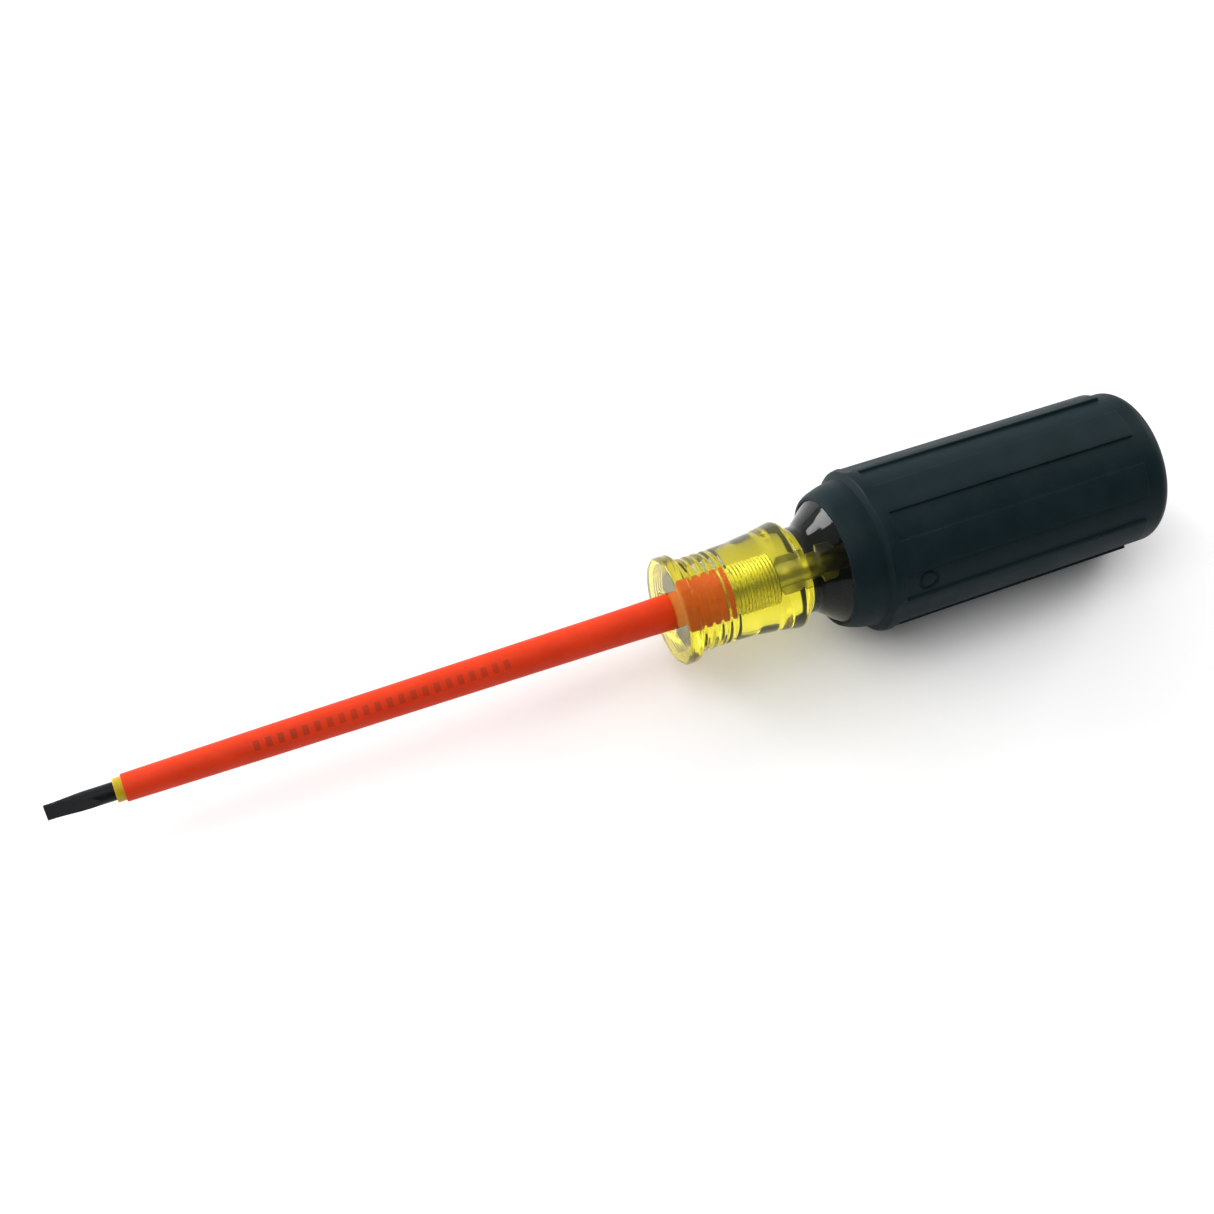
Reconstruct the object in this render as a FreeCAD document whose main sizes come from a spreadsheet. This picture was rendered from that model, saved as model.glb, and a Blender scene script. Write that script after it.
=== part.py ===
import FreeCAD, Part
import math
import os

import Sketcher
from FreeCAD import Placement, Rotation, Vector

# Insulated screwdriver with a cabinet tip, in mm.
# The tool lies along X with its tip towards -X, resting on the bottom panel of its grip.
# The origin is the centre of the bounding box's bottom face.  Stations along the handle are
# measured from the front face of its flange, and each body's own frame starts at its front end.

doc = FreeCAD.newDocument("InsulatedScrewdriver")

# ---------------------------------------------------------------- driving dimensions

D = {
    # blade
    "blade_reach": 104.9,
    "shank_radius": 1.5,
    "tip_thickness": 0.5,
    "tip_land": 1.3,
    "flat_length": 8.4,
    "grind_radius": 34.0,
    "tang_depth": 62.0,
    "tang_chamfer": 0.4,
    "ear_front": 19.6,
    "ear_length": 4.6,
    "ear_pitch": 8.6,
    "ear_reach": 2.25,
    "ear_ramp": 0.7,
    "ear_thickness": 1.1,
    # insulation
    "inner_radius": 1.97,
    "inner_showing": 1.4,
    "inner_front_setback": 10.8,
    "seat_depth": 10.5,
    "seat_radius": 3.0,
    "sleeve_nose_radius": 2.05,
    # handle core
    "flange_radius": 9.4,
    "flange_thickness": 2.5,
    "flange_front_round": 0.5,
    "flange_back_round": 0.5,
    "mouth_radius": 3.5,
    "mouth_depth": 0.45,
    "ring_radius": 8.15,
    "groove_first": 3.1,
    "groove_pitch": 1.57,
    "groove_width": 0.95,
    "groove_depth": 0.32,
    "bore_depth": 19.2,
    "barrel_start": 10.6,
    "neck_radius": 7.65,
    "neck_start": 23.9,
    "core_rim": 29.4,
    "core_rim_radius": 10.9,
    "core_hidden_radius": 11.0,
    "core_length": 86.5,
    # grip
    "grip_front": 29.3,
    "grip_lip_radius": 11.55,
    "grip_ring_end": 34.9,
    "grip_ring_radius": 13.0,
    "shoulder_radius": 14.55,
    "shoulder_end": 37.1,
    "grip_radius": 14.4,
    "grip_rear_radius": 14.25,
    "land_rear_radius": 13.7,
    "grip_end": 91.5,
    "butt_length": 3.5,
    "butt_flat_radius": 8.8,
    "butt_crown": 0.35,
    "panel_front": 37.7,
    "panel_rear": 85.2,
    "panel_degrees": 24.0,
    "panel_height": 0.42,
    "rest_flat": 14.28,
    "dimple_station": 41.9,
    "dimple_radius": 1.95,
    "dimple_pin_radius": 1.35,
    "dimple_depth": 0.35,
}

PANELS = 8
GROOVES = 5
TIP_TURN = 16.0
EAR_TURN = 47.0
DIMPLE_ELEVATION = 23.5
BUTT_STEPS = 8

# stations and radii of the tapered outer sleeve, from its front end
SLEEVE_STATIONS = [0.45, 4.6, 23.6, 51.6, 80.8, 86.8, 90.8, 92.5]
SLEEVE_RADII = [2.29, 2.34, 2.54, 2.74, 2.93, 3.0, 3.08, 3.1]

# stations and radii of the barrel, from the front face of the flange to the neck's front end
BARREL_STATIONS = [13.0, 15.2, 17.2, 19.2, 20.9, 21.6, 22.2, 22.6, 22.9, 23.3]
BARREL_RADII = [8.3, 8.5, 8.76, 9.08, 9.4, 9.36, 9.1, 8.7, 8.2, 7.78]

# stations and radii of the concave flare behind the neck
FLARE_STATIONS = [25.3, 26.2, 27.0, 27.7, 28.6, 29.1]
FLARE_RADII = [7.72, 8.22, 8.82, 9.4, 10.15, 10.6]

# the grip's rounded front shoulder, behind the step after its front ring, from its own front end
SHOULDER_STATIONS = [5.8, 6.05, 6.4, 6.8]
SHOULDER_RADII = [13.5, 13.95, 14.3, 14.48]


def add_lists():
    """Give every station of the long profiles its own named cell."""
    for name, values in (
        ("sleeve_x", SLEEVE_STATIONS),
        ("sleeve_r", SLEEVE_RADII),
        ("barrel_x", BARREL_STATIONS),
        ("barrel_r", BARREL_RADII),
        ("flare_x", FLARE_STATIONS),
        ("flare_r", FLARE_RADII),
        ("shoulder_x", SHOULDER_STATIONS),
        ("shoulder_r", SHOULDER_RADII),
    ):
        for i, value in enumerate(values):
            D[f"{name}_{chr(97 + i)}"] = value


def add_derived():
    """Dimensions that follow from the driving ones."""
    D["origin_station"] = (D["grip_end"] - D["blade_reach"]) / 2
    D["axis_height"] = D["rest_flat"]
    D["face_x"] = -D["origin_station"]
    D["blade_x"] = D["face_x"] - D["blade_reach"]
    D["inner_x"] = D["blade_x"] + D["inner_front_setback"]
    D["sleeve_x"] = D["inner_x"] + D["inner_showing"]
    D["blade_length"] = D["blade_reach"] + D["tang_depth"]
    D["tang_chamfer_x"] = D["blade_length"] - D["tang_chamfer"]
    D["tang_chamfer_r"] = D["shank_radius"] - D["tang_chamfer"]
    D["half_tip"] = D["tip_thickness"] / 2
    D["above_shank"] = D["shank_radius"] + 1.0
    D["ear_x"] = D["blade_reach"] + D["ear_front"]
    D["ear_x_top"] = D["ear_x"] + D["ear_ramp"]
    D["ear_end"] = D["ear_x"] + D["ear_length"]
    D["ear_end_top"] = D["ear_end"] - D["ear_ramp"]
    D["ear_below"] = -D["ear_reach"]
    D["shank_below"] = -D["shank_radius"]
    D["inner_edge"] = 0.15
    D["inner_edge_r"] = D["inner_radius"] - D["inner_edge"]
    D["inner_length"] = D["face_x"] + D["seat_depth"] + 0.5 - D["inner_x"]
    D["sleeve_length"] = D["face_x"] + D["seat_depth"] - D["sleeve_x"]
    D["sleeve_face"] = D["face_x"] - D["sleeve_x"]
    D["sleeve_seat_x"] = D["sleeve_face"] + D["mouth_depth"]
    D["flange_front_r"] = D["flange_radius"] - D["flange_front_round"]
    D["flange_back_r"] = D["flange_radius"] - D["flange_back_round"]
    D["flange_back_x"] = D["flange_thickness"] - D["flange_back_round"]
    D["half_groove"] = D["groove_width"] / 2
    D["groove_front_x"] = D["groove_first"] - D["half_groove"]
    D["groove_back_x"] = D["groove_first"] + D["half_groove"]
    D["groove_floor"] = D["ring_radius"] - D["groove_depth"]
    D["groove_above"] = D["ring_radius"] + 0.5
    D["tang_end_x"] = D["tang_depth"] + 0.5
    D["slot_front_top"] = D["ear_front"] + D["ear_ramp"]
    D["slot_end"] = D["ear_front"] + D["ear_length"]
    D["slot_end_top"] = D["slot_end"] - D["ear_ramp"]
    D["core_hidden_x"] = D["core_rim"] + 1.6
    D["core_end_chamfer_x"] = D["core_length"] - 2.0
    D["core_end_chamfer_r"] = D["core_hidden_radius"] - 2.0
    # grip, in its own frame
    D["grip_x"] = D["face_x"] + D["grip_front"]
    D["lip_inner_x"] = D["core_rim"] - D["grip_front"]
    D["pocket_x"] = D["core_hidden_x"] - D["grip_front"]
    D["pocket_end"] = D["core_length"] - D["grip_front"]
    D["pocket_chamfer_x"] = D["pocket_end"] - 2.0
    D["ring_end_x"] = D["grip_ring_end"] - D["grip_front"]
    D["ring_arc"] = 14.0
    D["shoulder_top_x"] = D["shoulder_end"] - 0.6 - D["grip_front"]
    D["body_x"] = D["shoulder_end"] - D["grip_front"]
    D["grip_length"] = D["grip_end"] - D["grip_front"]
    D["butt_flat_x"] = D["grip_length"] - D["butt_crown"]
    D["crown_arc"] = (D["butt_flat_radius"] ** 2 + D["butt_crown"] ** 2) / (2 * D["butt_crown"])
    D["butt_x"] = D["grip_length"] - D["butt_length"]
    D["gap_front_x"] = D["panel_front"] - D["grip_front"]
    D["gap_rear_x"] = D["panel_rear"] - D["grip_front"]
    D["land_radius"] = D["grip_radius"] - D["panel_height"]
    D["outside"] = D["shoulder_radius"] + 2.0
    D["dimple_x"] = D["dimple_station"] - D["grip_front"]
    D["dimple_floor"] = D["land_radius"] - D["dimple_depth"]


def add_butt():
    """The quarter ellipse that rounds the butt, from the body to its nearly flat end."""
    rise = D["land_rear_radius"] - D["butt_flat_radius"]
    run = D["butt_flat_x"] - D["butt_x"]
    for i in range(1, BUTT_STEPS):
        t = math.radians(90.0 * i / BUTT_STEPS)
        D[f"butt_x_{chr(96 + i)}"] = D["butt_x"] + run * math.sin(t)
        D[f"butt_r_{chr(96 + i)}"] = D["butt_flat_radius"] + rise * math.cos(t)


add_lists()
add_derived()
add_butt()

sheet = doc.addObject("Spreadsheet::Sheet", "sizes")
for row, (alias, value) in enumerate(D.items(), start=1):
    sheet.set(f"A{row}", alias)
    sheet.set(f"B{row}", repr(round(value, 6)))
    sheet.setAlias(f"B{row}", alias)
doc.recompute()


# ---------------------------------------------------------------- helpers


def plane_of(body, role):
    for feature in body.Origin.OriginFeatures:
        if feature.Role == role:
            return feature
    raise RuntimeError(f"no origin plane {role}")


def new_body(label, turn=0.0):
    body = doc.addObject("PartDesign::Body", label)
    body.Label = label
    body.Placement = Placement(Vector(0, 0, 0), Rotation(Vector(1, 0, 0), turn))
    return body


def place(body, x_alias):
    """Put a finished body's own origin on the tool's axis at a named station."""
    body.setExpression("Placement.Base.x", f"sizes.{x_alias}")
    body.setExpression("Placement.Base.z", "sizes.axis_height")


def new_sketch(body, name, role="XZ_Plane", turn=0.0):
    """A sketch on one of the body's own planes, turned about the tool's axis."""
    sketch = body.newObject("Sketcher::SketchObject", name)
    sketch.AttachmentSupport = [(plane_of(body, role), "")]
    sketch.MapMode = "FlatFace"
    sketch.AttachmentOffset = Placement(Vector(0, 0, 0), Rotation(Vector(1, 0, 0), turn))
    return sketch


def pin_vertex(sketch, geo, pos, vertex, tag):
    """Bind one vertex to two named sizes; None puts it on the sketch's own axis."""
    for axis, line, alias in zip("XY", (-2, -1), vertex):
        if alias is None:
            sketch.addConstraint(Sketcher.Constraint("PointOnObject", geo, pos, line))
            continue
        name = f"{tag}_{axis.lower()}"
        index = sketch.addConstraint(
            Sketcher.Constraint(f"Distance{axis}", -1, 1, geo, pos, D[alias])
        )
        sketch.renameConstraint(index, name)
        sketch.setExpression(f"Constraints.{name}", f"sizes.{alias}")


def outline(sketch, vertices, arcs=None):
    """A closed outline through named vertices; arcs maps an edge's index to (radius alias, side)."""
    arcs = arcs or {}
    spots = [tuple(0.0 if a is None else D[a] for a in v) for v in vertices]
    count = len(spots)
    for i, (start, end) in enumerate(zip(spots, spots[1:] + spots[:1])):
        a, b = Vector(*start, 0), Vector(*end, 0)
        if i in arcs:
            radius_alias, side = arcs[i]
            radius = D[radius_alias]
            chord = b - a
            sag = radius - math.sqrt(radius**2 - chord.Length**2 / 4)
            across = Vector(-chord.y, chord.x, 0).normalize()
            middle = (a + b) / 2 + across * (side * sag)
            sketch.addGeometry(Part.Arc(a, middle, b))
        else:
            sketch.addGeometry(Part.LineSegment(a, b))
    for i in range(count):
        follower = (i + 1) % count
        ends = [sketch.getPoint(i, 1), sketch.getPoint(i, 2)]
        goal = Vector(*spots[follower], 0)
        tail = 2 if (ends[1] - goal).Length < (ends[0] - goal).Length else 1
        heads = [sketch.getPoint(follower, 1), sketch.getPoint(follower, 2)]
        head = 1 if (heads[0] - goal).Length < (heads[1] - goal).Length else 2
        sketch.addConstraint(Sketcher.Constraint("Coincident", i, tail, follower, head))
        pin_vertex(sketch, follower, head, vertices[follower], f"v{follower}")
    for i, (radius_alias, _side) in arcs.items():
        index = sketch.addConstraint(Sketcher.Constraint("Radius", i, D[radius_alias]))
        sketch.renameConstraint(index, f"arc{i}")
        sketch.setExpression(f"Constraints.arc{i}", f"sizes.{radius_alias}")


def revolve(body, name, sketch):
    feature = body.newObject("PartDesign::Revolution", name)
    feature.Profile = sketch
    feature.ReferenceAxis = (sketch, ["H_Axis"])
    feature.Angle = 360.0
    return feature


def cut_round(body, name, sketch, angle=360.0):
    """Turn a section about the tool's axis and take it away, centred on the sketch's plane."""
    feature = body.newObject("PartDesign::Groove", name)
    feature.Profile = sketch
    feature.ReferenceAxis = (sketch, ["H_Axis"])
    feature.Angle = angle
    feature.Midplane = angle < 360.0
    return feature


def cut_through(body, name, sketch, width):
    """Cut an outline away over a width centred on the sketch's plane."""
    feature = body.newObject("PartDesign::Pocket", name)
    feature.Profile = sketch
    feature.SideType = "Symmetric"
    feature.setExpression("Length", f"sizes.{width}")
    return feature


def polar(body, name, originals, count):
    feature = body.newObject("PartDesign::PolarPattern", name)
    feature.Originals = originals
    feature.Axis = (plane_of(body, "X_Axis"), [""])
    feature.Angle = 360.0
    feature.Occurrences = count
    body.Tip = feature
    return feature


def run(name, count):
    """The letters of a list of stations, as pairs of cell names."""
    return [(f"{name}_x_{chr(97 + i)}", f"{name}_r_{chr(97 + i)}") for i in range(count)]


def box(x0, x1, r0, r1):
    """The vertices of a rectangle between two stations and two radii."""
    return [(x0, r0), (x1, r0), (x1, r1), (x0, r1)]


# ---------------------------------------------------------------- sub-parts


def blade():
    body = new_body("blade", 90.0 - TIP_TURN)
    shank = new_sketch(body, "shank_profile")
    outline(
        shank,
        [
            (None, None),
            ("blade_length", None),
            ("blade_length", "tang_chamfer_r"),
            ("tang_chamfer_x", "shank_radius"),
            (None, "shank_radius"),
        ],
    )
    revolve(body, "shank", shank)
    flat = new_sketch(body, "flat_profile")
    outline(
        flat,
        [
            (None, "half_tip"),
            ("tip_land", "half_tip"),
            ("flat_length", "shank_radius"),
            ("flat_length", "above_shank"),
            (None, "above_shank"),
        ],
        {1: ("grind_radius", -1)},
    )
    upper = cut_through(body, "upper_flat", flat, "shank_radius * 4")
    lower = body.newObject("PartDesign::Mirrored", "lower_flat")
    lower.Originals = [upper]
    lower.MirrorPlane = (plane_of(body, "XY_Plane"), [""])
    body.Tip = lower
    ear = new_sketch(body, "ear_profile", turn=EAR_TURN)
    outline(ear, ear_vertices("ear_x", "ear_end", "ear_x_top", "ear_end_top"))
    ears = body.newObject("PartDesign::Pad", "ears")
    ears.Profile = ear
    ears.SideType = "Symmetric"
    ears.setExpression("Length", "sizes.ear_thickness")
    repeat_ears(body, ears)
    place(body, "blade_x")
    return body


def ear_vertices(front, end, front_top, end_top):
    """A pair of opposite swaged ears, drawn as one bar across the shank."""
    return [
        (front, "shank_radius"),
        (front_top, "ear_reach"),
        (end_top, "ear_reach"),
        (end, "shank_radius"),
        (end, "shank_below"),
        (end_top, "ear_below"),
        (front_top, "ear_below"),
        (front, "shank_below"),
    ]


def repeat_ears(body, original):
    row = body.newObject("PartDesign::LinearPattern", "rear_" + original.Name)
    row.Originals = [original]
    row.Direction = (plane_of(body, "X_Axis"), [""])
    row.setExpression("Length", "sizes.ear_pitch")
    row.Occurrences = 2
    body.Tip = row


def inner_insulation():
    body = new_body("inner_insulation")
    wall = new_sketch(body, "wall")
    outline(
        wall,
        [
            (None, "shank_radius"),
            ("inner_length", "shank_radius"),
            ("inner_length", "inner_radius"),
            ("inner_edge", "inner_radius"),
            (None, "inner_edge_r"),
        ],
    )
    revolve(body, "tube", wall)
    place(body, "inner_x")
    return body


def outer_insulation():
    body = new_body("outer_insulation")
    wall = new_sketch(body, "wall")
    outline(
        wall,
        [
            (None, "inner_radius"),
            ("sleeve_length", "inner_radius"),
            ("sleeve_length", "seat_radius"),
            ("sleeve_seat_x", "seat_radius"),
            *reversed(run("sleeve", len(SLEEVE_STATIONS))),
            (None, "sleeve_nose_radius"),
        ],
    )
    revolve(body, "tube", wall)
    place(body, "sleeve_x")
    return body


def handle_core():
    body = new_body("handle_core")
    profile = new_sketch(body, "profile")
    vertices = [
        (None, "mouth_radius"),
        ("mouth_depth", "seat_radius"),
        ("bore_depth", "seat_radius"),
        ("bore_depth", "shank_radius"),
        ("tang_end_x", "shank_radius"),
        ("tang_end_x", None),
        ("core_length", None),
        ("core_length", "core_end_chamfer_r"),
        ("core_end_chamfer_x", "core_hidden_radius"),
        ("core_hidden_x", "core_hidden_radius"),
        ("core_rim", "core_rim_radius"),
        *reversed(run("flare", len(FLARE_STATIONS))),
        ("neck_start", "neck_radius"),
        *reversed(run("barrel", len(BARREL_STATIONS))),
        ("barrel_start", "ring_radius"),
        ("flange_thickness", "ring_radius"),
        ("flange_thickness", "flange_back_r"),
        ("flange_back_x", "flange_radius"),
        ("flange_front_round", "flange_radius"),
        (None, "flange_front_r"),
    ]
    back = vertices.index(("flange_thickness", "flange_back_r"))
    front = vertices.index(("flange_front_round", "flange_radius"))
    rounds = {back: ("flange_back_round", -1), front: ("flange_front_round", -1)}
    outline(profile, vertices, rounds)
    revolve(body, "solid", profile)
    ring = new_sketch(body, "groove_section")
    outline(
        ring,
        [
            ("groove_front_x", "groove_above"),
            ("groove_front_x", "ring_radius"),
            ("groove_first", "groove_floor"),
            ("groove_back_x", "ring_radius"),
            ("groove_back_x", "groove_above"),
        ],
    )
    first = cut_round(body, "ring_groove", ring)
    rings = body.newObject("PartDesign::LinearPattern", "ring_grooves")
    rings.Originals = [first]
    rings.Direction = (plane_of(body, "X_Axis"), [""])
    rings.setExpression("Length", f"sizes.groove_pitch * {GROOVES - 1}")
    rings.Occurrences = GROOVES
    body.Tip = rings
    slot = new_sketch(body, "ear_slot_profile", turn=90.0 - TIP_TURN + EAR_TURN)
    outline(slot, ear_vertices("ear_front", "slot_end", "slot_front_top", "slot_end_top"))
    slots = cut_through(body, "ear_slots", slot, "ear_thickness")
    repeat_ears(body, slots)
    place(body, "face_x")
    return body


def cushion_grip():
    body = new_body("cushion_grip")
    profile = new_sketch(body, "profile")
    vertices = [
        (None, "core_rim_radius"),
        (None, "grip_lip_radius"),
        ("ring_end_x", "grip_ring_radius"),
        *run("shoulder", len(SHOULDER_STATIONS)),
        ("shoulder_top_x", "shoulder_radius"),
        ("body_x", "grip_radius"),
        ("gap_rear_x", "grip_rear_radius"),
        ("gap_rear_x", "land_rear_radius"),
        ("butt_x", "land_rear_radius"),
        *run("butt", BUTT_STEPS - 1),
        ("butt_flat_x", "butt_flat_radius"),
        ("grip_length", None),
        ("pocket_end", None),
        ("pocket_end", "core_end_chamfer_r"),
        ("pocket_chamfer_x", "core_hidden_radius"),
        ("pocket_x", "core_hidden_radius"),
        ("lip_inner_x", "core_rim_radius"),
    ]
    crown = vertices.index(("butt_flat_x", "butt_flat_radius"))
    rounds = {1: ("ring_arc", 1), crown: ("crown_arc", 1)}
    outline(profile, vertices, rounds)
    revolve(body, "moulding", profile)
    gap = new_sketch(body, "gap_section", turn=180.0 / PANELS)
    floor = [("gap_front_x", "land_radius"), ("gap_rear_x", "land_rear_radius")]
    outline(gap, floor + [("gap_rear_x", "outside"), ("gap_front_x", "outside")])
    gaps = cut_round(body, "gap", gap, 360.0 / PANELS - D["panel_degrees"])
    polar(body, "gaps", [gaps], PANELS)
    flat = new_sketch(body, "rest_flat_section")
    outline(flat, box(None, "grip_length", "rest_flat", "outside"))
    flats = cut_through(body, "rest_flat", flat, "grip_radius")
    polar(body, "rest_flats", [flats], PANELS)
    dimple(body)
    place(body, "grip_x")
    return body


def dimple(body):
    """The small round moulding mark in one of the gaps between panels."""
    facing = Rotation(Vector(1, 0, 0), 90.0 - DIMPLE_ELEVATION)
    sketch = new_sketch(body, "dimple_outline", "XY_Plane")
    sketch.AttachmentOffset = Placement(facing.multVec(Vector(0, 0, D["outside"])), facing)
    for geo, alias in enumerate(("dimple_radius", "dimple_pin_radius")):
        sketch.addGeometry(Part.Circle(Vector(D["dimple_x"], 0, 0), Vector(0, 0, 1), D[alias]))
        pin_vertex(sketch, geo, 3, ("dimple_x", None), f"centre{geo}")
        index = sketch.addConstraint(Sketcher.Constraint("Radius", geo, D[alias]))
        sketch.renameConstraint(index, f"radius{geo}")
        sketch.setExpression(f"Constraints.radius{geo}", f"sizes.{alias}")
    pocket = body.newObject("PartDesign::Pocket", "dimple")
    pocket.Profile = sketch
    pocket.setExpression("Length", "sizes.outside - sizes.dimple_floor")


# ---------------------------------------------------------------- build, check, write

parts = [blade(), inner_insulation(), outer_insulation(), handle_core(), cushion_grip()]
doc.recompute()

for item in doc.Objects:
    if "Invalid" in item.State or "Error" in item.State:
        raise RuntimeError(f"{item.Name} did not build: {item.State}")
for part in parts:
    if part.Shape.isNull() or not part.Shape.isValid():
        raise RuntimeError(f"{part.Label} has no valid shape")

os.makedirs("parts", exist_ok=True)
for part in parts:
    part.Shape.exportStep(f"parts/{part.Label}.step")
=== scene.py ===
import math

import bmesh
import bpy
import numpy as np
from mathutils import Matrix, Vector


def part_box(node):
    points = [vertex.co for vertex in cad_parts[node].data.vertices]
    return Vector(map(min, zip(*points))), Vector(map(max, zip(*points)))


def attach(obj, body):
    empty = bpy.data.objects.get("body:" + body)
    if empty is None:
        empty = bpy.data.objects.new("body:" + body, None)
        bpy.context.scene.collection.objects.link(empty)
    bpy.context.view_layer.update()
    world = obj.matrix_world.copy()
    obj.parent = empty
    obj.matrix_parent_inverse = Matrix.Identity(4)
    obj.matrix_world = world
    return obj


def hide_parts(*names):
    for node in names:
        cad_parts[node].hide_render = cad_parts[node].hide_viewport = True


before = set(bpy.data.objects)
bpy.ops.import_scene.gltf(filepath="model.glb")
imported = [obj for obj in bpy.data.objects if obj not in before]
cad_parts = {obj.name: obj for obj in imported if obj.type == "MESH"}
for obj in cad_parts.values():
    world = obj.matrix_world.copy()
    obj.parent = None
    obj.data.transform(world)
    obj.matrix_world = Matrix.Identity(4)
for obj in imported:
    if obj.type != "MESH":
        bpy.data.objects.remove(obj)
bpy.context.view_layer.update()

# Lengths in this script are millimetres along the tool, measured from the front face of the
# handle's flange, and millimetres from the tool's axis.  Positions come from the CAD nodes.
MM = 0.001
FACE_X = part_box("handle_core")[0][0] / MM
TIP = (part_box("blade")[0][0] / MM) - FACE_X
BUTT = (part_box("cushion_grip")[1][0] / MM) - FACE_X
GRIP_FRONT = (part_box("cushion_grip")[0][0] / MM) - FACE_X
CORE_END = (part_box("handle_core")[1][0] / MM) - FACE_X
TANG_END = (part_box("blade")[1][0] / MM) - FACE_X
INNER_FRONT = (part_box("inner_insulation")[0][0] / MM) - FACE_X
INNER_END = (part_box("inner_insulation")[1][0] / MM) - FACE_X
SLEEVE_FRONT = (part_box("outer_insulation")[0][0] / MM) - FACE_X
SLEEVE_END = (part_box("outer_insulation")[1][0] / MM) - FACE_X
_low, _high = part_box("inner_insulation")
AXIS_Y = (_low[1] + _high[1]) / 2 / MM
AXIS_Z = (_low[2] + _high[2]) / 2 / MM

SHANK_R = 1.5
INNER_R = (_high[2] - _low[2]) / 2 / MM
SEAT_R = 3.0
# how far the clear bore reaches into the piece it holds, and a tube into the piece it sleeves
CONTACT = 0.02
HIDDEN_LAP = 0.1

PANELS = 8
PANEL_DEGREES = 24.0
PANEL_FRONT = 37.7
PANEL_REAR = 85.2
PANEL_HEIGHT = 0.42
GRIP_R = 14.4
LAND_R = GRIP_R - PANEL_HEIGHT
GRIP_REAR_R = 14.25
LAND_REAR_R = 13.7
REST_FLAT = AXIS_Z

TIP_TURN = math.radians(16.0)
EAR_TURN = math.radians(149.0)


# ---------------------------------------------------------------- mesh helpers


def to_frame(x, y, z):
    """A point given along the tool and across its axis, in the row frame in metres."""
    return Vector(((x + FACE_X) * MM, (y + AXIS_Y) * MM, (z + AXIS_Z) * MM))


def rounded(corners, step=math.radians(9.0)):
    """The points of a path through (station, radius, fillet) corners, each one rounded."""
    points = []
    last = len(corners) - 1
    for i, (x, r, fillet) in enumerate(corners):
        here = Vector((x, r))
        if i in (0, last) or fillet <= 0:
            points.append(here)
            continue
        before = Vector(corners[i - 1][:2]) - here
        after = Vector(corners[i + 1][:2]) - here
        angle = before.angle(after)
        reach = fillet / math.tan(angle / 2)
        longest = 0.49 * min(before.length, after.length)
        if reach > longest:
            fillet *= longest / reach
            reach = longest
        centre = here + (before.normalized() + after.normalized()).normalized() * (
            fillet / math.sin(angle / 2)
        )
        start = here + before.normalized() * reach - centre
        end = here + after.normalized() * reach - centre
        sweep = start.angle_signed(end)
        count = max(2, int(abs(sweep) / step) + 1)
        for k in range(count + 1):
            turn = Matrix.Rotation(-sweep * k / count, 2)
            points.append(centre + turn @ start)
    return points


def densified(points, longest):
    """The same path, with no stretch longer than that."""
    dense = [points[0]]
    for a, b in zip(points, points[1:]):
        count = max(1, math.ceil((b - a).length / longest))
        dense += [a.lerp(b, k / count) for k in range(1, count + 1)]
    return dense


def finish_mesh(name, bm, sharp=40.0):
    bmesh.ops.remove_doubles(bm, verts=bm.verts, dist=1e-8)
    bmesh.ops.recalc_face_normals(bm, faces=bm.faces)
    mesh = bpy.data.meshes.new(name)
    bm.to_mesh(mesh)
    bm.free()
    mesh.shade_smooth()
    mesh.set_sharp_from_angle(angle=math.radians(sharp))
    piece = bpy.data.objects.new(name, mesh)
    bpy.context.collection.objects.link(piece)
    return piece


def add_turned(bm, points, around):
    """Turn a path of (station, radius) points round the axis; a closed path makes a ring."""
    is_closed = (points[0] - points[-1]).length < 1e-9
    path = points[:-1] if is_closed else points
    rings = []
    for x, r in path:
        if r < 1e-6:
            rings.append([bm.verts.new(to_frame(x, 0, 0))])
            continue
        ring = []
        for k in range(around):
            a = 2 * math.pi * k / around
            ring.append(bm.verts.new(to_frame(x, -r * math.cos(a), r * math.sin(a))))
        rings.append(ring)
    pairs = list(zip(rings, rings[1:]))
    if is_closed:
        pairs.append((rings[-1], rings[0]))
    for one, two in pairs:
        skin(bm, one, two)


def skin(bm, one, two):
    """Faces between two rings of vertices, either of which may be a single point."""
    if len(one) == len(two) == 1:
        return
    count = max(len(one), len(two))
    for k in range(count):
        after = (k + 1) % count
        if len(one) == 1:
            bm.faces.new((one[0], two[after], two[k]))
        elif len(two) == 1:
            bm.faces.new((one[k], one[after], two[0]))
        else:
            bm.faces.new((one[k], one[after], two[after], two[k]))


def turned(name, points, around=160, sharp=40.0):
    bm = bmesh.new()
    add_turned(bm, points, around)
    return finish_mesh(name, bm, sharp)


def closed(points):
    return points + [points[0].copy()]


# ---------------------------------------------------------------- blade

TIP_LAND = 1.3
FLAT_LENGTH = 8.4
HALF_TIP = 0.25
GRIND_SAG = 0.19
TIP_BREAK = 0.05
TIP_BREAK_LENGTH = 0.06
TANG_CHAMFER = 0.4
EDGE_STEPS = 12

EAR_FRONTS = (19.6, 28.2)
EAR_LENGTH = 4.6
EAR_REACH = 2.25
EAR_RAMP = 0.9
EAR_HALF_WIDTH = 0.55
EAR_STEP_R = 1.45
EAR_ROOT_R = 0.9


def flat_height(s):
    """Half the blade's thickness at a distance from the end of its tip."""
    if s >= FLAT_LENGTH:
        return SHANK_R
    if s <= TIP_LAND:
        return HALF_TIP
    t = (s - TIP_LAND) / (FLAT_LENGTH - TIP_LAND)
    return HALF_TIP + (SHANK_R - HALF_TIP) * t - 4 * GRIND_SAG * t * (1 - t)


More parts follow.
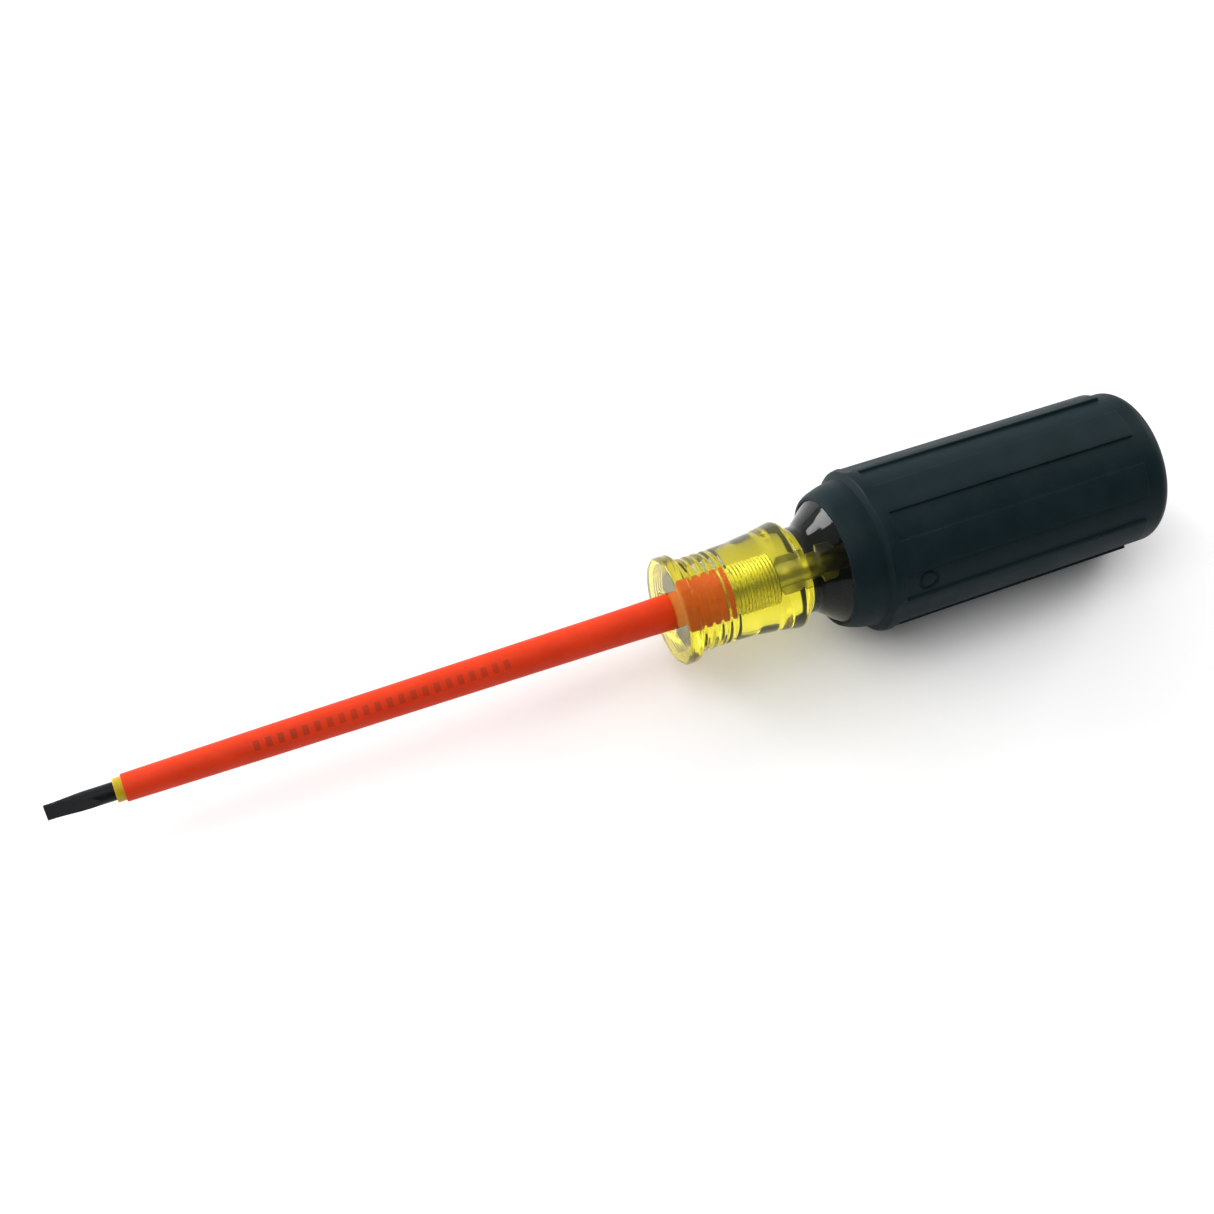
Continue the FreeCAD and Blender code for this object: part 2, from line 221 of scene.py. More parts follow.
def blade_section(x, radius, half):
    """One cross-section: a circle cut by the two ground flats, with a vertex on every edge."""
    edge = math.asin(min(1.0, half / radius))
    arc = [edge * (2 * k / EDGE_STEPS - 1) for k in range(EDGE_STEPS)]
    width = math.cos(edge) * radius
    points = [(radius * math.cos(a), radius * math.sin(a)) for a in arc]
    points += [(width * (1 - 2 * k / EDGE_STEPS), half) for k in range(EDGE_STEPS)]
    points += [(-y, -z) for y, z in points]
    c, s = math.cos(TIP_TURN), math.sin(TIP_TURN)
    # the flats' normal leans up from -Y by TIP_TURN, so their width runs nearly upright
    return [to_frame(x, -h * c + w * s, h * s + w * c) for w, h in points]


def add_ear(bm, front, turn, side):
    """A swaged ear on the tang: a low flat-sided wedge that grows out of the shank."""
    corners = [
        (front, EAR_ROOT_R, 0.0),
        (front, EAR_STEP_R, 0.15),
        (front + EAR_RAMP, EAR_REACH, 0.35),
        (front + EAR_LENGTH - EAR_RAMP, EAR_REACH, 0.35),
        (front + EAR_LENGTH, EAR_STEP_R, 0.15),
        (front + EAR_LENGTH, EAR_ROOT_R, 0.0),
    ]
    outline = rounded(corners, math.radians(15))
    out = Vector((0.0, -math.cos(turn), math.sin(turn))) * side
    across = Vector((0.0, math.sin(turn), math.cos(turn)))
    loops = []
    for offset in (-EAR_HALF_WIDTH, EAR_HALF_WIDTH):
        loop = []
        for x, r in outline:
            p = out * r + across * offset
            loop.append(bm.verts.new(to_frame(x, p.y, p.z)))
        loops.append(loop)
    near, far = loops
    count = len(outline)
    for k in range(count):
        after = (k + 1) % count
        bm.faces.new((near[k], near[after], far[after], far[k]))
    bm.faces.new(list(reversed(near)))
    bm.faces.new(far)


def make_blade():
    bm = bmesh.new()
    stations = [TIP, TIP + TIP_BREAK_LENGTH, TIP + TIP_LAND]
    stations += list(np.linspace(TIP + TIP_LAND, TIP + FLAT_LENGTH, 40)[1:])
    stations += [TIP + FLAT_LENGTH + 0.02, INNER_FRONT, 0.0]
    stations += [TANG_END - TANG_CHAMFER, TANG_END]
    rings = []
    for i, x in enumerate(stations):
        radius = SHANK_R
        half = min(flat_height(x - TIP), SHANK_R)
        if i == 0:
            radius, half = SHANK_R - TIP_BREAK, half - TIP_BREAK
        if x == TANG_END:
            radius = half = SHANK_R - TANG_CHAMFER
        rings.append([bm.verts.new(p) for p in blade_section(x, radius, half)])
    for one, two in zip(rings, rings[1:]):
        skin(bm, one, two)
    bm.faces.new(rings[0])
    bm.faces.new(list(reversed(rings[-1])))
    for front in EAR_FRONTS:
        for side in (-1, 1):
            add_ear(bm, front, EAR_TURN, side)
    return finish_mesh("steel_blade", bm, 25.0)


# ---------------------------------------------------------------- insulation

INNER_LIP = 0.2
SLEEVE_LIP = 0.3
SLEEVE_NOSE_R = 2.28


def make_inner():
    corners = [
        (INNER_FRONT + INNER_LIP, SHANK_R - HIDDEN_LAP, 0),
        (INNER_FRONT, SHANK_R - HIDDEN_LAP, 0),
        (INNER_FRONT, INNER_R, 0.22),
        (INNER_END, INNER_R, 0.15),
        (INNER_END, SHANK_R - HIDDEN_LAP, 0),
        (INNER_END - INNER_LIP, SHANK_R - HIDDEN_LAP, 0),
    ]
    return turned("yellow_layer", closed(densified(rounded(corners), 6.0)), 96)


# distance from the sleeve's front end, and radius
SLEEVE = [
    (4.6, 2.34),
    (23.6, 2.54),
    (51.6, 2.74),
    (80.8, 2.93),
    (86.8, 3.0),
    (90.8, 3.08),
    (92.6, 3.1),
]


def make_sleeve():
    corners = [
        (SLEEVE_FRONT + SLEEVE_LIP, INNER_R - HIDDEN_LAP, 0),
        (SLEEVE_FRONT, INNER_R - HIDDEN_LAP, 0),
        (SLEEVE_FRONT, SLEEVE_NOSE_R, 0.45),
        *[(SLEEVE_FRONT + s, r, 4.0) for s, r in SLEEVE],
        (0.5, SEAT_R, 0.3),
        (SLEEVE_END, SEAT_R, 0.1),
        (SLEEVE_END, INNER_R - HIDDEN_LAP, 0),
        (SLEEVE_END - SLEEVE_LIP, INNER_R - HIDDEN_LAP, 0),
    ]
    return turned("orange_sleeve", closed(densified(rounded(corners), 1.0)), 128)


# ---------------------------------------------------------------- handle core

FLANGE_R = 9.4
FLANGE_LENGTH = 2.5
RING_R = 8.15
GROOVE_FIRST = 3.1
GROOVE_PITCH = 1.57
GROOVES = 5
GROOVE_HALF = 0.48
GROOVE_FLOOR_HALF = 0.14
GROOVE_DEPTH = 0.36
CORE_R = 11.05
MOUTH_DEPTH = 0.45
BORE_DEPTH = 19.2
BORE_RIDGE_PITCH = 0.62
BORE_RIDGE_HEIGHT = 0.2

# corners of the turned outline: station, radius, and radius of the rounding
BARREL = [
    (10.6, RING_R + 0.05, 1.0),
    (13.2, RING_R + 0.15, 6.0),
    (17.4, 8.78, 12.0),
    (21.8, 9.55, 1.3),
]
NECK_AND_FLARE = [
    (23.4, 7.66, 0.55),
    (25.4, 7.62, 1.5),
    (27.7, 9.38, 3.0),
    (29.1, 10.6, 0.5),
]


def outer_corners():
    """From the bore's mouth over the flange, rings, barrel and flare to the hidden rear end."""
    corners = [
        (0.0, SEAT_R + 0.5, 0.12),
        (0.0, FLANGE_R, 0.5),
        (FLANGE_LENGTH, FLANGE_R, 0.55),
        (FLANGE_LENGTH, RING_R, 0.12),
    ]
    for k in range(GROOVES):
        middle = GROOVE_FIRST + GROOVE_PITCH * k
        corners += [
            (middle - GROOVE_HALF, RING_R, 0.25),
            (middle - GROOVE_FLOOR_HALF, RING_R - GROOVE_DEPTH, 0.16),
            (middle + GROOVE_FLOOR_HALF, RING_R - GROOVE_DEPTH, 0.16),
            (middle + GROOVE_HALF, RING_R, 0.25),
        ]
    corners += BARREL + NECK_AND_FLARE
    corners += [
        (GRIP_FRONT + 0.15, 10.95, 0.2),
        (GRIP_FRONT + 1.7, CORE_R, 0.2),
        (CORE_END - 2.0, CORE_R, 0.5),
        (CORE_END, 9.0, 0.5),
        (CORE_END, 0.0, 0),
    ]
    return corners


def bore_corners():
    """From the bore's blind end out to its mouth in the front face."""
    corners = [
        (TANG_END + 0.5, 0.0, 0),
        (TANG_END + 0.5, SHANK_R - CONTACT, 0),
        (BORE_DEPTH, SHANK_R - CONTACT, 0),
        (BORE_DEPTH, SEAT_R - BORE_RIDGE_HEIGHT, 0.3),
    ]
    count = int((BORE_DEPTH - SLEEVE_END - 0.6) / BORE_RIDGE_PITCH)
    for k in range(count):
        x = BORE_DEPTH - 0.3 - BORE_RIDGE_PITCH * k
        corners += [
            (x, SEAT_R, 0.06),
            (x - BORE_RIDGE_PITCH / 2, SEAT_R - BORE_RIDGE_HEIGHT, 0.06),
        ]
    corners += [
        (SLEEVE_END + 0.25, SEAT_R, 0.1),
        (SLEEVE_END - 0.1, SEAT_R - CONTACT, 0),
        (0.5, SEAT_R - CONTACT, 0),
        (MOUTH_DEPTH, SEAT_R + 0.06, 0.0),
    ]
    return corners


def make_core():
    bm = bmesh.new()
    outside = densified(rounded(outer_corners(), math.radians(7)), 0.8)
    inside = densified(rounded(bore_corners(), math.radians(15)), 0.8)
    add_turned(bm, inside + outside, 256)
    return finish_mesh("clear_handle", bm, 50.0)


# ---------------------------------------------------------------- grip


def smoothstep(value, low, high):
    t = min(1.0, max(0.0, (value - low) / (high - low)))
    return t * t * (3 - 2 * t)


EDGE = 0.16
BUTT_CROWN = 0.35
BUTT_FLAT_R = 8.8
BUTT_LENGTH = 3.5


def gap_share(x, angle):
    """1 on the recessed land between two panels and 0 on the raised surface."""
    pitch = 2 * math.pi / PANELS
    from_panel = abs((angle + pitch / 2) % pitch - pitch / 2)
    arc = (from_panel - math.radians(PANEL_DEGREES / 2)) * GRIP_R
    around = smoothstep(arc, -EDGE / 2, EDGE / 2)
    return around * smoothstep(x, PANEL_FRONT - EDGE, PANEL_FRONT)


def land_radius(x):
    """The lands between the panels, which taper a little towards the butt."""
    t = (x - PANEL_FRONT) / (PANEL_REAR - PANEL_FRONT)
    return LAND_R + (LAND_REAR_R - LAND_R) * min(1.0, max(0.0, t))


def panel_radius(x):
    t = (x - PANEL_FRONT) / (PANEL_REAR - PANEL_FRONT)
    return GRIP_R + (GRIP_REAR_R - GRIP_R) * min(1.0, max(0.0, t))


DIMPLE_X = 41.9
DIMPLE_ANGLE = math.radians(23.5)
DIMPLE_R = 1.95
DIMPLE_PIN_R = 1.35
DIMPLE_DEPTH = 0.35


def dimple_share(x, angle):
    """1 in the floor of the round moulding mark."""
    across = math.sin(angle - DIMPLE_ANGLE) * GRIP_R
    if math.cos(angle - DIMPLE_ANGLE) < 0:
        return 0.0
    d = math.hypot(x - DIMPLE_X, across)
    return smoothstep(d, DIMPLE_PIN_R - 0.12, DIMPLE_PIN_R + 0.08) * (
        1 - smoothstep(d, DIMPLE_R - 0.12, DIMPLE_R + 0.08)
    )


def flat_radius(angle):
    """How far the panels' slightly flattened tops stand from the axis at an angle."""
    pitch = 2 * math.pi / PANELS
    off = (angle + pitch / 2) % pitch - pitch / 2
    return REST_FLAT / math.cos(off)


def grip_profile():
    """From inside the rubber's lip, over the ring, shoulder and panels, to the butt's centre."""
    start = rounded(
        [
            (GRIP_FRONT + 0.35, 10.92, 0),
            (GRIP_FRONT, 11.0, 0.08),
            (GRIP_FRONT + 0.05, 11.55, 0.15),
            (GRIP_FRONT + 0.9, 12.05, 3.0),
            (GRIP_FRONT + 3.1, 12.74, 8.0),
            (34.85, 13.08, 0.12),
            (35.05, 13.5, 0.1),
            (35.5, 14.4, 0.6),
            (36.6, 14.57, 1.0),
            (37.6, GRIP_R, 1.5),
            (PANEL_REAR, GRIP_REAR_R, 0.12),
            (PANEL_REAR + 0.1, LAND_REAR_R, 0.1),
            (BUTT - BUTT_LENGTH, LAND_REAR_R, 0),
        ],
        math.radians(7),
    )
    points = densified(start, 1.2)
    crown = (BUTT_FLAT_R**2 + BUTT_CROWN**2) / (2 * BUTT_CROWN)
    for k in range(1, 17):
        a = math.pi / 2 * k / 16
        points.append(
            Vector(
                (
                    BUTT - BUTT_LENGTH + (BUTT_LENGTH - BUTT_CROWN) * math.sin(a),
                    BUTT_FLAT_R + (LAND_REAR_R - BUTT_FLAT_R) * math.cos(a),
                )
            )
        )
    for k in range(1, 9):
        r = BUTT_FLAT_R * (1 - k / 8)
        points.append(Vector((BUTT - crown + math.sqrt(crown**2 - r**2), r)))
    return points


def refine(values, marks, half, step):
    """The values, with closely spaced ones added on both sides of each mark."""
    extra = [m + d for m in marks for d in np.arange(-half, half + step / 2, step)]
    merged = sorted(set(round(float(v), 5) for v in [*values, *extra]))
    kept = [merged[0]]
    for v in merged[1:]:
        if v - kept[-1] > step * 0.3:
            kept.append(v)
    return kept


def grip_angles():
    pitch = 2 * math.pi / PANELS
    half_panel = math.radians(PANEL_DEGREES / 2)
    edges = [pitch * k + side * half_panel for k in range(PANELS) for side in (-1, 1)]
    edges = [a % (2 * math.pi) for a in edges]
    even = np.linspace(0, 2 * math.pi, 145)[:-1]
    angles = refine(even, edges, EDGE * 0.7 / GRIP_R, EDGE * 0.28 / GRIP_R)
    angles = refine(angles, [DIMPLE_ANGLE], DIMPLE_R * 1.15 / GRIP_R, 0.1 / GRIP_R)
    return [a for a in angles if 0 <= a < 2 * math.pi - 1e-4]


def grip_stations(points):
    """Extra points along the grip where the panels end and where the moulding mark is."""
    long_stretch = [p.x for p in points if PANEL_FRONT - 1 < p.x < PANEL_REAR - 0.5 and p.y > 14]
    xs = refine(long_stretch, [PANEL_FRONT - EDGE / 2], EDGE * 0.8, EDGE * 0.25)
    xs = refine(xs, [DIMPLE_X], DIMPLE_R * 1.15, 0.1)
    inside = [Vector((x, panel_radius(x))) for x in xs]
    before = [p for p in points if p.x < xs[0] and p.y > 11]
    after = [p for p in points if p.x > xs[-1]]
    return before + inside + after


def make_grip():
    bm = bmesh.new()
    angles = grip_angles()
    rings = []
    for x, r in grip_stations(grip_profile()):
        if r < 1e-6:
            rings.append([bm.verts.new(to_frame(x, 0, 0))])
            continue
        ring = []
        for a in angles:
            radius = min(r, flat_radius(a))
            radius -= max(0.0, radius - land_radius(x)) * gap_share(x, a)
            radius -= DIMPLE_DEPTH * dimple_share(x, a)
            ring.append(bm.verts.new(to_frame(x, -radius * math.cos(a), radius * math.sin(a))))
        rings.append(ring)
    inner = [(CORE_END - 0.05, 0.0), (CORE_END - 0.05, 8.9), (CORE_END - 2.0, 11.0)]
    inner += [(GRIP_FRONT + 1.6, 11.0)]
    inner_rings = []
    for x, r in inner:
        if r < 1e-6:
            inner_rings.append([bm.verts.new(to_frame(x, 0, 0))])
        else:
            inner_rings.append(
                [bm.verts.new(to_frame(x, -r * math.cos(a), r * math.sin(a))) for a in angles]
            )
    chain = inner_rings + rings
    for one, two in zip(chain, chain[1:]):
        skin(bm, one, two)
    return finish_mesh("rubber_grip", bm, 60.0)


# ---------------------------------------------------------------- materials

# each colour runs between two stops of a noise
BLACK_OXIDE = [(0.3, (0.004, 0.0048, 0.0045)), (0.7, (0.009, 0.0105, 0.012))]
BRIGHT_STEEL = [(0.3, (0.4, 0.4, 0.38)), (0.7, (0.62, 0.62, 0.6))]
YELLOW = [(0.3, (0.42, 0.29, 0.005)), (0.7, (0.52, 0.38, 0.012))]
ORANGE = [(0.3, (0.6, 0.032, 0.0045)), (0.7, (0.7, 0.041, 0.007))]
# painted brightening: a brighter, yellower copy of the same orange, for the sleeve where it is
# seen inside the clear handle
ORANGE_PAINTED_BRIGHT_IN_HANDLE = [(0.3, (0.76, 0.075, 0.004)), (0.7, (0.95, 0.12, 0.008))]
RUBBER = [(0.3, (0.0038, 0.0112, 0.014)), (0.7, (0.006, 0.016, 0.0195))]
BAR_INK = (0.22, 0.03, 0.012, 1.0)


def new_material(name):
    material = bpy.data.materials.new(name)
    material.use_nodes = True
    nodes = material.node_tree.nodes
    shader = nodes["Principled BSDF"]
    return material, material.node_tree, shader


def noise(tree, scale, detail=4.0, rough=0.55, stretch=(1.0, 1.0, 1.0)):
    """Noise in the object's own coordinates; scale is in features per metre."""
    where = tree.nodes.new("ShaderNodeTexCoord")
    mapping = tree.nodes.new("ShaderNodeMapping")
    mapping.inputs["Scale"].default_value = stretch
    tree.links.new(where.outputs["Object"], mapping.inputs["Vector"])
    node = tree.nodes.new("ShaderNodeTexNoise")
    node.inputs["Scale"].default_value = scale
    node.inputs["Detail"].default_value = detail
    node.inputs["Roughness"].default_value = rough
    tree.links.new(mapping.outputs["Vector"], node.inputs["Vector"])
    return node


def ramp(tree, source, stops):
    node = tree.nodes.new("ShaderNodeValToRGB")
    elements = node.color_ramp.elements
    while len(elements) < len(stops):
        elements.new(0.5)
    for element, (position, colour) in zip(elements, stops):
        element.position = position
        element.color = (*colour, 1.0)
    tree.links.new(source, node.inputs["Fac"])
    return node


def spread(tree, source, low, high):
    """Map noise's middle range to a span of values."""
    node = tree.nodes.new("ShaderNodeMapRange")
    node.inputs["From Min"].default_value = 0.3
    node.inputs["From Max"].default_value = 0.7
    node.inputs["To Min"].default_value = low
    node.inputs["To Max"].default_value = high
    tree.links.new(source, node.inputs["Value"])
    return node


def bump(tree, shader, source, distance, strength=1.0):
    node = tree.nodes.new("ShaderNodeBump")
    node.inputs["Strength"].default_value = strength
    node.inputs["Distance"].default_value = distance
    tree.links.new(source, node.inputs["Height"])
    tree.links.new(node.outputs["Normal"], shader.inputs["Normal"])


def colour_from(tree, shader, source, stops):
    colour = ramp(tree, source.outputs["Fac"], stops)
    tree.links.new(colour.outputs["Color"], shader.inputs["Base Color"])


def roughness_from(tree, shader, source, low, high):
    rough = spread(tree, source.outputs["Fac"], low, high)
    tree.links.new(rough.outputs["Result"], shader.inputs["Roughness"])


def math_node(tree, operation, first, second):
    node = tree.nodes.new("ShaderNodeMath")
    node.operation = operation
    for socket, value in zip(node.inputs, (first, second)):
        if isinstance(value, float):
            socket.default_value = value
        else:
            tree.links.new(value, socket)
    return node.outputs["Value"]


def tool_axes(tree):
    """The station along the tool and the two offsets from its axis, in metres."""
    where = tree.nodes.new("ShaderNodeTexCoord")
    split = tree.nodes.new("ShaderNodeSeparateXYZ")
    tree.links.new(where.outputs["Object"], split.inputs["Vector"])
    station = math_node(tree, "SUBTRACT", split.outputs["X"], FACE_X * MM)
    side = math_node(tree, "SUBTRACT", split.outputs["Y"], AXIS_Y * MM)
    height = math_node(tree, "SUBTRACT", split.outputs["Z"], AXIS_Z * MM)
    return station, side, height


def from_axis(tree, side, height):
    squares = math_node(
        tree,
        "ADD",
        math_node(tree, "MULTIPLY", side, side),
        math_node(tree, "MULTIPLY", height, height),
    )
    return math_node(tree, "POWER", squares, 0.5)


def between(tree, value, low, high):
    above = math_node(tree, "GREATER_THAN", value, low * MM)
    below = math_node(tree, "LESS_THAN", value, high * MM)
    return math_node(tree, "MULTIPLY", above, below)


def steel_material():
    material, tree, shader = new_material("black_oxide_steel")
    cloud = noise(tree, 420.0, 5.0, 0.6)
    colour_from(tree, shader, cloud, BLACK_OXIDE)
    shader.inputs["Metallic"].default_value = 0.25
    shader.inputs["Specular IOR Level"].default_value = 0.14
    roughness_from(tree, shader, cloud, 0.34, 0.5)
    grind = noise(tree, 1500.0, 3.0, 0.6, (0.25, 1.0, 1.0))
    bump(tree, shader, grind.outputs["Fac"], 0.00002, 0.5)
    return material


def tang_material():
    material, tree, shader = new_material("bright_steel")
    cloud = noise(tree, 900.0, 5.0, 0.6, (0.3, 1.0, 1.0))
    colour_from(tree, shader, cloud, BRIGHT_STEEL)
    shader.inputs["Metallic"].default_value = 1.0
    roughness_from(tree, shader, cloud, 0.3, 0.5)
    return material


def yellow_material():
    material, tree, shader = new_material("yellow_insulation")
    cloud = noise(tree, 900.0)
    colour_from(tree, shader, cloud, YELLOW)
    shader.inputs["Roughness"].default_value = 0.42
    shader.inputs["Specular IOR Level"].default_value = 0.2
    shader.inputs["Subsurface Weight"].default_value = 0.2
    shader.inputs["Subsurface Radius"].default_value = (0.6, 0.5, 0.1)
    shader.inputs["Subsurface Scale"].default_value = 0.001
    bump(tree, shader, cloud.outputs["Fac"], 0.00001, 0.4)
    return material


BAR_START = -72.0
BAR_END = -28.0
BAR_PITCH = 2.0
BAR_SHARE = 0.5
BAR_HALF_HEIGHT = 0.8
BAR_FACING = math.radians(58.0)
BAR_STRENGTH = 0.6


def print_bars(tree):
    """One even row of faint plain dashes along the sleeve, with no lettering."""
    station, side, height = tool_axes(tree)
    across = math_node(
        tree,
        "ADD",
        math_node(tree, "MULTIPLY", side, math.sin(BAR_FACING)),
        math_node(tree, "MULTIPLY", height, math.cos(BAR_FACING)),
    )
    facing = math_node(
        tree,
        "SUBTRACT",
        math_node(tree, "MULTIPLY", height, math.sin(BAR_FACING)),
        math_node(tree, "MULTIPLY", side, math.cos(BAR_FACING)),
    )
    row = between(tree, across, -BAR_HALF_HEIGHT, BAR_HALF_HEIGHT)
    front = math_node(tree, "GREATER_THAN", facing, 0.0)
    stretch = between(tree, station, BAR_START, BAR_END)
    repeat = math_node(tree, "DIVIDE", station, BAR_PITCH * MM)
    phase = math_node(tree, "FLOORED_MODULO", repeat, 1.0)
    stroke = math_node(tree, "LESS_THAN", phase, BAR_SHARE)
    mask = math_node(tree, "MULTIPLY", math_node(tree, "MULTIPLY", row, front), stretch)
    worn = spread(tree, noise(tree, 90.0, 2.0, 0.4).outputs["Fac"], 0.7, 1.0)
    ink = math_node(tree, "MULTIPLY", mask, math_node(tree, "MULTIPLY", stroke, BAR_STRENGTH))
    return math_node(tree, "MULTIPLY", ink, worn.outputs["Result"])


def orange_material(name, stops):
    material, tree, shader = new_material(name)
    cloud = noise(tree, 260.0, 6.0, 0.6, (0.6, 1.0, 1.0))
    colour = ramp(tree, cloud.outputs["Fac"], stops)
    bars = print_bars(tree)
    marked = tree.nodes.new("ShaderNodeMix")
    marked.data_type = "RGBA"
    tree.links.new(bars, marked.inputs["Factor"])
    tree.links.new(colour.outputs["Color"], marked.inputs["A"])
    marked.inputs["B"].default_value = BAR_INK
    tree.links.new(marked.outputs["Result"], shader.inputs["Base Color"])
    shader.inputs["Roughness"].default_value = 0.5
    shader.inputs["Specular IOR Level"].default_value = 0.14
    fine = noise(tree, 2600.0, 3.0, 0.6)
    bump(tree, shader, fine.outputs["Fac"], 0.000015, 0.5)
    return material


FACE_HAZE = 0.08
FACE_HAZE_DEPTH = 0.3
FACE_HAZE_RADIUS = 4.4


def acetate_material():
    material, tree, shader = new_material("clear_acetate")
    shader.inputs["Base Color"].default_value = (0.92, 0.87, 0.2, 1.0)
    shader.inputs["Specular Tint"].default_value = (0.34, 0.36, 0.36, 1.0)
    shader.inputs["IOR"].default_value = 1.48
    station, side, height = tool_axes(tree)
    radius = from_axis(tree, side, height)
    bore = math_node(
        tree,
        "MULTIPLY",
        between(tree, station, SLEEVE_END + 0.1, BORE_DEPTH + 0.2),
        between(tree, radius, 1.6, 3.4),
    )
    rough = tree.nodes.new("ShaderNodeMapRange")
    rough.inputs["To Min"].default_value = 0.03
    rough.inputs["To Max"].default_value = 0.42
    tree.links.new(bore, rough.inputs["Value"])
    tree.links.new(rough.outputs["Result"], shader.inputs["Roughness"])
    haze = tree.nodes.new("ShaderNodeMapRange")
    haze.inputs["From Min"].default_value = 22.0 * MM
    haze.inputs["From Max"].default_value = 24.5 * MM
    haze.inputs["To Min"].default_value = 0.95
    haze.inputs["To Max"].default_value = 1.0
    tree.links.new(station, haze.inputs["Value"])
    front_face = math_node(tree, "LESS_THAN", station, FACE_HAZE_DEPTH * MM)
    outside = between(tree, radius, FACE_HAZE_RADIUS, FLANGE_R + 0.5)
    face_ring = math_node(tree, "MULTIPLY", front_face, outside)
    front_haze = math_node(tree, "MULTIPLY", face_ring, FACE_HAZE)
    clear = math_node(tree, "SUBTRACT", haze.outputs["Result"], front_haze)
    tree.links.new(clear, shader.inputs["Transmission Weight"])
    absorb = tree.nodes.new("ShaderNodeVolumeAbsorption")
    absorb.inputs["Color"].default_value = (0.92, 0.885, 0.02, 1.0)
    absorb.inputs["Density"].default_value = 95.0
    output = tree.nodes["Material Output"]
    tree.links.new(absorb.outputs["Volume"], output.inputs["Volume"])
    wave = noise(tree, 130.0, 2.0, 0.4)
    bump(tree, shader, wave.outputs["Fac"], 0.00004, 0.35)
    return material


def rubber_material():
    material, tree, shader = new_material("soft_rubber")
    cloud = noise(tree, 170.0, 5.0, 0.55)
    colour_from(tree, shader, cloud, RUBBER)
    roughness_from(tree, shader, cloud, 0.42, 0.55)
    shader.inputs["Specular IOR Level"].default_value = 0.08
    fine = noise(tree, 2400.0, 4.0, 0.65)
    bump(tree, shader, fine.outputs["Fac"], 0.00003, 0.45)
    return material


def floor_material():
    material, _tree, shader = new_material("pale_floor")
    shader.inputs["Base Color"].default_value = (0.9, 0.9, 0.9, 1.0)
    shader.inputs["Roughness"].default_value = 0.9
    return material


# ---------------------------------------------------------------- pieces


def add_piece(piece, material, node):
    piece.data.materials.append(material)
    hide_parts(node)
    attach(piece, "root")


def use_second_material(piece, station):
    """Give the faces behind a station the piece's second material."""
    for face in piece.data.polygons:
        if face.center.x > to_frame(station, 0, 0).x:
            face.material_index = 1


blade = make_blade()
add_piece(blade, steel_material(), "blade")
blade.data.materials.append(tang_material())
use_second_material(blade, 0.0)
add_piece(make_inner(), yellow_material(), "inner_insulation")
sleeve = make_sleeve()
add_piece(sleeve, orange_material("orange_insulation", ORANGE), "outer_insulation")
# painted brightening: behind the bore's mouth the sleeve gets that brighter copy of its own
# orange
sleeve.data.materials.append(orange_material("orange_painted_bright_in_handle", ORANGE_PAINTED_BRIGHT_IN_HANDLE))
use_second_material(sleeve, MOUTH_DEPTH)
add_piece(make_core(), acetate_material(), "handle_core")
add_piece(make_grip(), rubber_material(), "cushion_grip")


# ---------------------------------------------------------------- floor, light, camera


FLOOR_HALF = 3.0
FLOOR_DROP = 0.0002


def make_floor():
    bm = bmesh.new()
    bmesh.ops.create_grid(bm, x_segments=1, y_segments=1, size=FLOOR_HALF)
    mesh = bpy.data.meshes.new("floor")
    bm.to_mesh(mesh)
    bm.free()
    floor = bpy.data.objects.new("floor", mesh)
    bpy.context.collection.objects.link(floor)
    floor.location.z = -FLOOR_DROP
    floor.data.materials.append(floor_material())


# name, place, aim and size in metres, and power in watts
LIGHTS = [
    ("key", (-0.15, 0.62, 0.72), (0, 0, 0), (2.6, 2.0), 12.5),
    ("top", (-0.35, -0.1, 0.95), (0, 0, 0), (0.8, 0.8), 4.5),
    ("back_left", (-0.62, 0.72, 0.22), (0.03, 0, 0.015), (0.4, 0.55), 9.0),
    ("butt_side", (0.75, 0.2, 0.4), (0.08, 0, 0.02), (0.4, 0.4), 3.6),
]
SKY_STRENGTH = 0.26


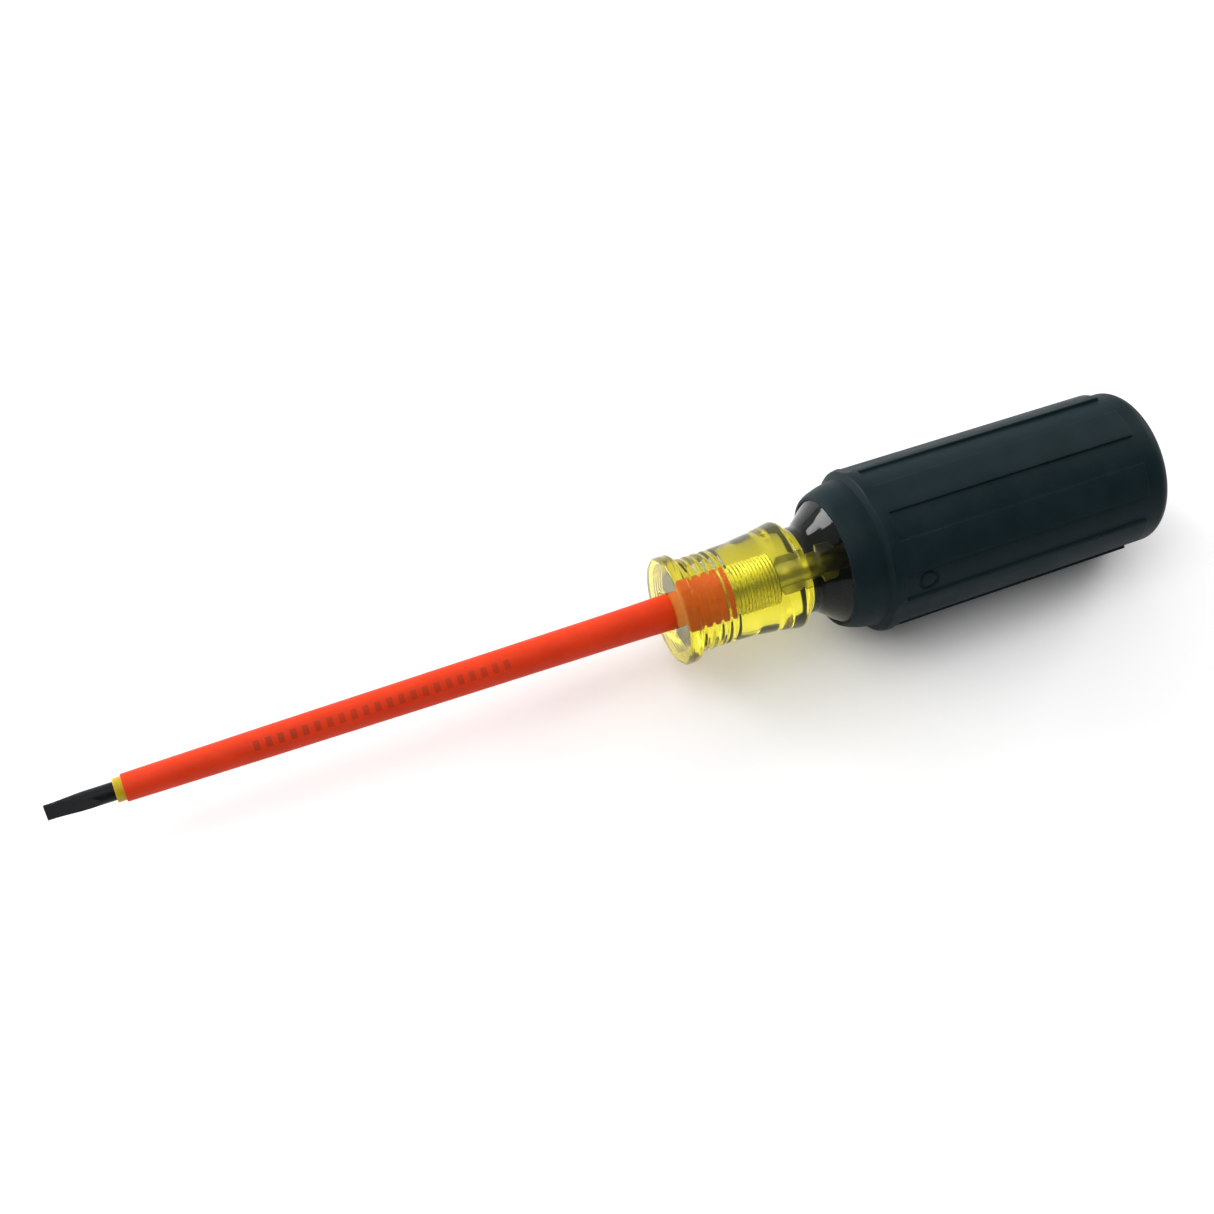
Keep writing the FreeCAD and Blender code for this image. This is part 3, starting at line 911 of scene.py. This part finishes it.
def soft_light(name, place, aim, size, power):
    light = bpy.data.lights.new(name, "AREA")
    light.shape = "RECTANGLE"
    light.size, light.size_y = size
    light.energy = power
    lamp = bpy.data.objects.new(name, light)
    lamp.location = place
    lamp.rotation_euler = (Vector(aim) - Vector(place)).to_track_quat("-Z", "Y").to_euler()
    bpy.context.collection.objects.link(lamp)


# the camera's direction, its distance from the aim point and the width in view there
AZIMUTH = math.radians(-22.9)
ELEVATION = math.radians(49.8)
DISTANCE = 312.0
VIEW_WIDTH = 202 + 1 / 3
SENSOR = 36.0
# the view is turned about the tool's own axis, and then a little in the picture's plane
ROLL_OVER = math.radians(7.0)
PICTURE_TURN = math.radians(0.17)
AIM_STATION = -9.85
AIM_LIFT = 3.94


def make_camera():
    back = Vector(
        (
            math.sin(AZIMUTH) * math.cos(ELEVATION),
            -math.cos(AZIMUTH) * math.cos(ELEVATION),
            math.sin(ELEVATION),
        )
    )
    right = Vector((math.cos(AZIMUTH), math.sin(AZIMUTH), 0.0))
    up = back.cross(right)
    over = Matrix.Rotation(-ROLL_OVER, 3, "X")
    back, right, up = over @ back, over @ right, over @ up
    twist = Matrix.Rotation(PICTURE_TURN, 3, back)
    right, up = twist @ right, twist @ up
    axis = Vector((right.x, up.x)).normalized()
    lift = (right * -axis.y + up * axis.x) * AIM_LIFT
    aim = to_frame(AIM_STATION + lift.x, lift.y, lift.z)
    data = bpy.data.cameras.new("camera")
    data.sensor_width = SENSOR
    data.lens = SENSOR * DISTANCE / VIEW_WIDTH
    data.clip_start = 0.01
    camera = bpy.data.objects.new("camera", data)
    camera.matrix_world = Matrix(
        (
            (right.x, up.x, back.x, aim.x + back.x * DISTANCE * MM),
            (right.y, up.y, back.y, aim.y + back.y * DISTANCE * MM),
            (right.z, up.z, back.z, aim.z + back.z * DISTANCE * MM),
            (0, 0, 0, 1),
        )
    )
    bpy.context.collection.objects.link(camera)
    bpy.context.scene.camera = camera


make_floor()
for lamp_values in LIGHTS:
    soft_light(*lamp_values)
make_camera()

world = bpy.data.worlds.new("studio")
world.use_nodes = True
background = world.node_tree.nodes["Background"]
background.inputs["Color"].default_value = (1, 1, 1, 1)
background.inputs["Strength"].default_value = SKY_STRENGTH
bpy.context.scene.world = world
bpy.context.scene.view_settings.view_transform = "Standard"

bpy.context.view_layer.update()
